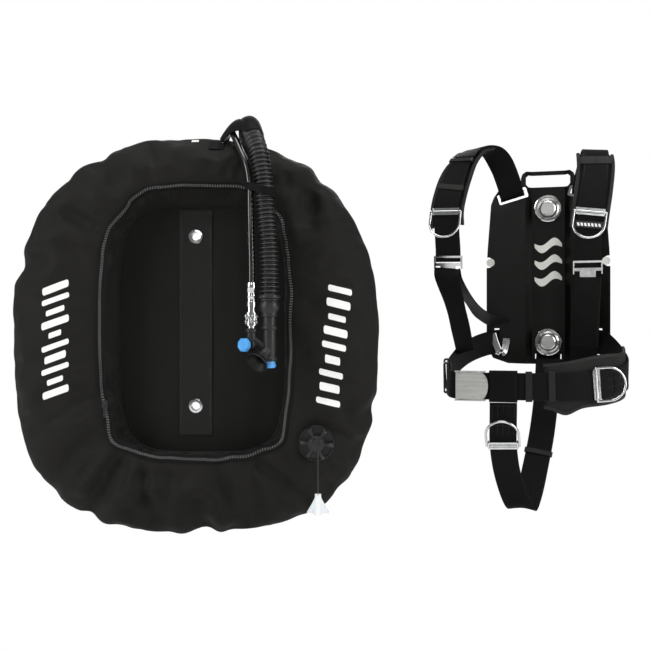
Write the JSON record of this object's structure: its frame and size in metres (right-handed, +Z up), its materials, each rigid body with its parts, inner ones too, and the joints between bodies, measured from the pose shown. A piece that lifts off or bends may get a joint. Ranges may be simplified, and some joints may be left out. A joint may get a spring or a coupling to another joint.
{
  "type": "buoyancy compensator vest",
  "caption": "Donut-shaped inflatable wing with corrugated inflator hose and dump valve, beside its black backplate with a webbing harness, D-rings and a cam buckle.",
  "frame": {"origin": "midway between the wing's two bolt grommets, in the plane of its centre panel", "axes": "+Z up the diver's back, +X towards the diver's left, and -Y the side that faces the diver"},
  "size_m": [1.1007, 0.5787, 0.7294],
  "materials": {
    "cover_cloth": "woven nylon, matte",
    "bladder_film": "coated cloth",
    "panel_cloth": "woven nylon, matte",
    "webbing": "woven webbing",
    "pad_cloth": "padded cloth",
    "hip_pad_cloth": "padded cloth",
    "polished_steel": "polished stainless steel",
    "brushed_steel": "brushed stainless steel",
    "plate_coating": "satin black coating",
    "rubber": "smooth rubber",
    "black_plastic": "moulded",
    "blue_plastic": "moulded",
    "white_plastic": "soft moulded",
    "eyelet_plastic": "moulded",
    "zip_tape": "zip tape"
  },
  "bodies": {
    "wing": {"cover_front": "cover_cloth", "cover_back": "cover_cloth", "bladder": "bladder_film", "center_panel": "panel_cloth", "bolt_sleeve": "panel_cloth", "grommets": "polished_steel", "zipper": "zip_tape", "elbow_base": "black_plastic", "elbow": "black_plastic", "corrugated_hose": "rubber", "hose_ties": "black_plastic", "hose_wrap": "cover_cloth", "hose_band": "cover_cloth", "inflator_body": "black_plastic", "mouthpiece": "rubber", "air_nipple": "polished_steel", "inflate_spring": "polished_steel", "deflate_spring": "polished_steel", "coupling_body": "polished_steel", "lp_hose": "rubber", "regulator_fitting": "polished_steel", "dump_base": "black_plastic", "dump_cap": "black_plastic", "dump_spring": "polished_steel", "gaskets": "rubber"},
    "zip_slider": {"zip_slider": "polished_steel"},
    "inflate_button": {"inflate_button": "blue_plastic"},
    "deflate_button": {"deflate_button": "blue_plastic"},
    "coupling_sleeve": {"coupling_sleeve": "polished_steel"},
    "dump_poppet": {"dump_poppet": "white_plastic"},
    "dump_pull": {"pull_cord": "webbing", "pull_knob": "white_plastic"},
    "harness": {"backplate": "plate_coating", "strap_frames": "polished_steel", "edge_eyelets": "eyelet_plastic", "bolt_cups": "polished_steel", "shoulder_pads": "pad_cloth", "shoulder_web_right": "webbing", "shoulder_web_left": "webbing", "load_web_right": "webbing", "load_web_left": "webbing", "d_ring_slides": "polished_steel", "adjusters": "polished_steel", "hip_anchors": "polished_steel", "waist_web_right": "webbing", "waist_web_left": "webbing", "buckle_frame": "brushed_steel", "web_keepers": "webbing", "hip_pad": "hip_pad_cloth", "crotch_web": "webbing"},
    "thumbscrew_upper": {"thumbscrew_upper": "polished_steel"},
    "thumbscrew_lower": {"thumbscrew_lower": "polished_steel"},
    "d_ring_right": {"d_ring_right": "polished_steel"},
    "d_ring_left": {"d_ring_left": "polished_steel"},
    "d_ring_hip": {"d_ring_hip": "polished_steel"},
    "d_ring_crotch": {"d_ring_crotch": "polished_steel"},
    "adjuster_tab_right": {"adjuster_tab_right": "polished_steel"},
    "adjuster_tab_left": {"adjuster_tab_left": "polished_steel"},
    "buckle_lever": {"buckle_lever": "brushed_steel"}
  },
  "joints": [
    {"name": "harness_lift", "type": "slide", "parent": "wing", "child": "harness", "axis": [0, 0, 1], "range_m": [0, 0.12]},
    {"name": "zip_slide", "type": "slide", "parent": "wing", "child": "zip_slider", "axis": [-0.0732, 0, 0.9973], "range_m": [0, 0.1]},
    {"name": "inflate_press", "type": "slide", "parent": "wing", "child": "inflate_button", "axis": [0.6, 0.8, 0], "range_m": [0, 0.003], "stiffness_N_per_m": 400, "springref_m": -0.003},
    {"name": "deflate_press", "type": "slide", "parent": "wing", "child": "deflate_button", "axis": [0, 0, 1], "range_m": [0, 0.004], "stiffness_N_per_m": 300, "springref_m": -0.003},
    {"name": "coupling_release", "type": "slide", "parent": "wing", "child": "coupling_sleeve", "axis": [0, 0, 1], "range_m": [0, 0.004], "stiffness_N_per_m": 500, "springref_m": -0.002},
    {"name": "dump_pull", "type": "slide", "parent": "wing", "child": "dump_pull", "axis": [0, 0, -1], "range_m": [0, 0.012], "stiffness_N_per_m": 120, "springref_m": -0.006},
    {"name": "dump_lift", "type": "slide", "parent": "wing", "child": "dump_poppet", "axis": [0, -1, 0], "range_m": [0, 0.004]},
    {"name": "upper_knob_spin", "type": "hinge", "parent": "harness", "child": "thumbscrew_upper", "pos_m": [0.682, 0.433, 0.2377], "axis": [-0.2756, -0.9613, 0], "continuous": true},
    {"name": "lower_knob_spin", "type": "hinge", "parent": "harness", "child": "thumbscrew_lower", "pos_m": [0.682, 0.433, -0.0417], "axis": [-0.2756, -0.9613, 0], "continuous": true},
    {"name": "d_ring_right_swing", "type": "hinge", "parent": "harness", "child": "d_ring_right", "pos_m": [0.45384, 0.3314, 0.22048], "axis": [-0.932, 0.3617, 0.0234], "range_deg": [0, 150]},
    {"name": "d_ring_left_swing", "type": "hinge", "parent": "harness", "child": "d_ring_left", "pos_m": [0.72659, 0.27294, 0.2135], "axis": [-0.9483, 0.2938, 0.1202], "range_deg": [0, 150]},
    {"name": "d_ring_crotch_swing", "type": "hinge", "parent": "harness", "child": "d_ring_crotch", "pos_m": [0.54362, 0.19663, -0.2303], "axis": [0.967, -0.252, 0.0375], "range_deg": [0, 150]},
    {"name": "d_ring_hip_swing", "type": "hinge", "parent": "harness", "child": "d_ring_hip", "pos_m": [0.70797, 0.16161, -0.11521], "axis": [0.069, 0.0166, -0.9975], "range_deg": [0, 120]},
    {"name": "adjuster_right_tip", "type": "hinge", "parent": "harness", "child": "adjuster_tab_right", "pos_m": [0.45835, 0.33163, 0.11603], "axis": [-0.9619, 0.273, 0.0113], "range_deg": [0, 40]},
    {"name": "adjuster_left_tip", "type": "hinge", "parent": "harness", "child": "adjuster_tab_left", "pos_m": [0.72355, 0.28037, 0.10325], "axis": [-0.9611, 0.2762, -0.0045], "range_deg": [0, 40]},
    {"name": "buckle_open", "type": "hinge", "parent": "harness", "child": "buckle_lever", "pos_m": [0.45846, 0.20124, -0.119], "axis": [0, 0, -1], "range_deg": [0, 110]}
  ],
  "couplings": [
    {"joint": "dump_lift", "follows": "dump_pull", "ratio": 0.3333}
  ]
}
